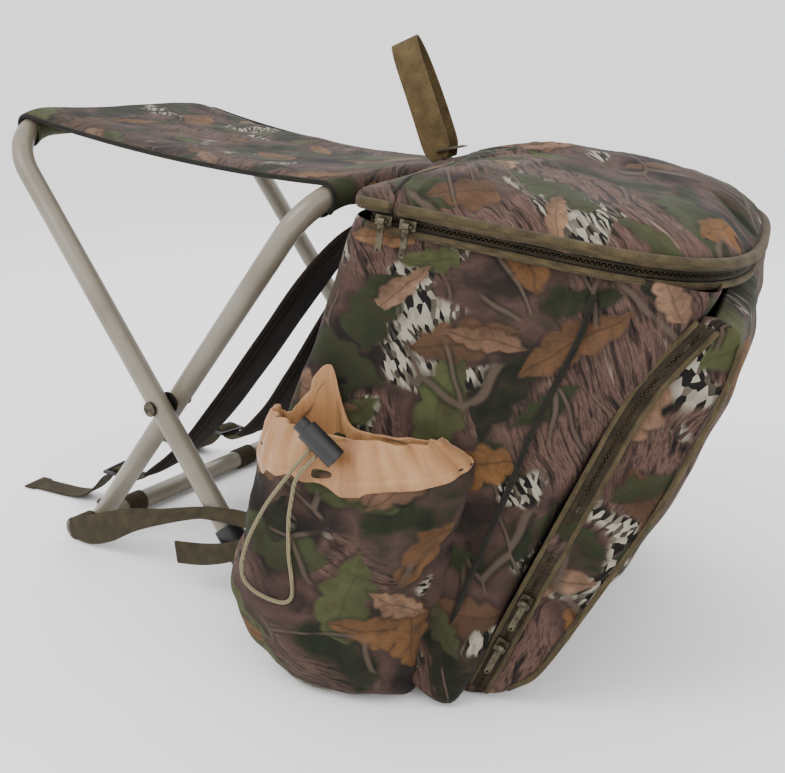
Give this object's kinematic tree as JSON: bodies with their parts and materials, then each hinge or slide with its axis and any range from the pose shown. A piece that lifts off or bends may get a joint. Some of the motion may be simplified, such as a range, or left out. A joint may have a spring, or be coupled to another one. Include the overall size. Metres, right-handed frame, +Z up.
{
  "type": "folding rucksack stool",
  "caption": "Folding stool on two crossed tube frames with a fabric seat and a camouflage rucksack hung on the inner frame.",
  "frame": {"origin": "on the floor, under the middle of the whole object, loose strap ends included but not the draw cord", "axes": "+X from the free end of the seat towards the sack, +Y across the seat to the side away from the cord lock, +Z up"},
  "size_m": [0.7956, 0.5118, 0.4982],
  "materials": {
    "painted_tube": "satin",
    "black_moulding": "matte",
    "zip_metal": "satin",
    "camo_cloth": "matte woven",
    "olive_web": "matte webbing",
    "tan_web": "matte webbing",
    "tan_cloth": "satin nylon",
    "black_pad": "matte padded",
    "cord": "braided"
  },
  "bodies": {
    "inner_frame_and_sack": {"inner_frame": "painted_tube", "inner_foot_bar": "painted_tube", "foot_bar_screws": "zip_metal", "foot_bar_plugs": "black_moulding", "pivot_rivets": "zip_metal", "pivot_washers": "black_moulding", "seat_panel": "camo_cloth", "seat_binding_near": "olive_web", "seat_binding_far": "olive_web", "seat_sleeve_inner": "camo_cloth", "sack_hanger": "camo_cloth", "sack_body": "camo_cloth", "side_piping_near": "olive_web", "side_piping_far": "olive_web", "top_strip": "camo_cloth", "top_strip_piping": "olive_web", "lid_zip_chain": "olive_web", "lid_sliders": "zip_metal", "haul_loop_patch": "olive_web", "front_pocket": "camo_cloth", "front_pocket_piping": "olive_web", "front_zip_chain": "olive_web", "side_pocket_near": "camo_cloth", "side_pocket_far": "camo_cloth", "pocket_collar_near": "tan_cloth", "pocket_collar_far": "tan_cloth", "cord_lock_barrel": "black_moulding", "draw_cord": "cord", "shoulder_strap_near": "black_pad", "shoulder_strap_far": "black_pad", "strap_webbing_near": "olive_web", "strap_webbing_far": "olive_web", "strap_buckles": "black_moulding", "foot_strap_near": "olive_web", "foot_strap_far": "olive_web", "lash_webbing": "olive_web"},
    "outer_frame": {"outer_frame": "painted_tube", "outer_foot_tips": "black_moulding", "seat_sleeve_outer": "camo_cloth"},
    "lid": {"lid_shell": "camo_cloth", "lid_piping": "olive_web"},
    "rear_lid_pull": {"lid_pull_rear": "zip_metal"},
    "front_lid_pull": {"lid_pull_front": "zip_metal"},
    "haul_loop": {"haul_loop": "tan_web"},
    "upper_slider": {"front_slider_upper": "zip_metal"},
    "upper_pull": {"front_pull_upper": "zip_metal"},
    "lower_slider": {"front_slider_lower": "zip_metal"},
    "lower_pull": {"front_pull_lower": "zip_metal"},
    "lock_button": {"cord_lock_button": "black_moulding"}
  },
  "joints": [
    {"name": "fold", "type": "hinge", "parent": "inner_frame_and_sack", "child": "outer_frame", "pos_m": [-0.1136, 0.0053, 0.1685], "axis": [0, 1, 0], "range_deg": [0, 64], "deforming": ["seat_panel", "seat_binding_near", "seat_binding_far"]},
    {"name": "lid_open", "type": "hinge", "parent": "inner_frame_and_sack", "child": "lid", "pos_m": [0.12279, 0.01437, 0.40335], "axis": [0.2419, -0.9703, 0], "range_deg": [0, 65]},
    {"name": "haul_loop_swing", "type": "hinge", "parent": "inner_frame_and_sack", "child": "haul_loop", "pos_m": [0.09222, 0.00675, 0.397], "axis": [0.2419, -0.9703, 0], "range_deg": [-20, 12]},
    {"name": "rear_lid_pull_swing", "type": "hinge", "parent": "inner_frame_and_sack", "child": "rear_lid_pull", "pos_m": [0.16451, -0.18732, 0.37092], "axis": [-0.962, -0.2399, 0.1305], "range_deg": [0, 110]},
    {"name": "front_lid_pull_swing", "type": "hinge", "parent": "inner_frame_and_sack", "child": "front_lid_pull", "pos_m": [0.18183, -0.18301, 0.36857], "axis": [-0.962, -0.2399, 0.1305], "range_deg": [0, 110]},
    {"name": "upper_slider_slide", "type": "slide", "parent": "inner_frame_and_sack", "child": "upper_slider", "axis": [0.3629, 0.0905, 0.9274], "range_m": [0, 0.12]},
    {"name": "upper_pull_swing", "type": "hinge", "parent": "upper_slider", "child": "upper_pull", "pos_m": [0.27189, -0.15107, 0.0949], "axis": [-0.8999, -0.2244, 0.374], "range_deg": [0, 120]},
    {"name": "lower_slider_slide", "type": "slide", "parent": "inner_frame_and_sack", "child": "lower_slider", "axis": [-0.3629, -0.0905, -0.9274], "range_m": [0, 0.035]},
    {"name": "lower_pull_swing", "type": "hinge", "parent": "lower_slider", "child": "lower_pull", "pos_m": [0.25592, -0.15505, 0.05409], "axis": [-0.8999, -0.2244, 0.374], "range_deg": [0, 120]},
    {"name": "lock_button_press", "type": "slide", "parent": "inner_frame_and_sack", "child": "lock_button", "axis": [0.7433, 0.1853, -0.6428], "range_m": [0, 0.004], "stiffness_N_per_m": 400, "springref_m": -0.003}
  ]
}
